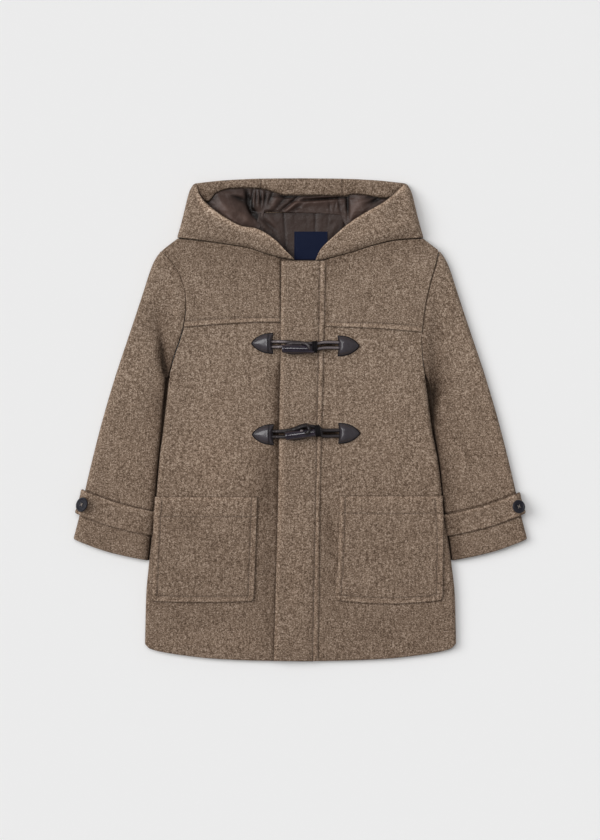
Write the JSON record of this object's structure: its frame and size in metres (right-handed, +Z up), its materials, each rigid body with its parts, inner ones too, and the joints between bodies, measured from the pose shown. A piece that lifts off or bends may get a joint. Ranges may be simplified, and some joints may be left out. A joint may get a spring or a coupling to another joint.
{
  "type": "duffle coat",
  "caption": "Child's hooded wool duffle coat with toggle fastenings and patch pockets, lying flat on its back.",
  "frame": {"origin": "centre of the coat's outline as it lies flat, at the surface it lies on", "axes": "+X to the wearer's left, +Y from the hem to the hood, +Z up from the surface, out of the coat's front"},
  "size_m": [0.5892, 0.6266, 0.0317],
  "materials": {
    "wool": "brown melange wool melton, soft and matt",
    "lining": "dark brown quilted lining with a low sheen",
    "label": "plain navy woven ribbon",
    "leather": "near-black smooth leather, polished",
    "horn": "near-black horn-like resin, glossy",
    "cord": "near-black round cord",
    "button": "near-black, satin"
  },
  "bodies": {
    "root": {"back": "wool", "front_right": "wool", "front_left": "wool", "placket": "wool", "yoke_right": "wool", "yoke_left": "wool", "pocket_right": "wool", "pocket_left": "wool", "sleeve_right": "wool", "sleeve_left": "wool", "cuff_tab_right": "wool", "cuff_tab_left": "wool", "hood_centre": "wool", "hood_side_right": "wool", "hood_side_left": "wool", "hood_facing": "wool", "hood_lining": "lining", "neck_lining": "lining", "neck_label": "label", "cuff_button_right": "button", "cuff_button_left": "button", "tab_right_1": "leather", "tab_left_1": "leather", "toggle_1": "horn", "toggle_cord_1": "cord", "loop_cord_1": "cord", "tab_right_2": "leather", "tab_left_2": "leather", "toggle_2": "horn", "toggle_cord_2": "cord", "loop_cord_2": "cord"}
  },
  "joints": []
}
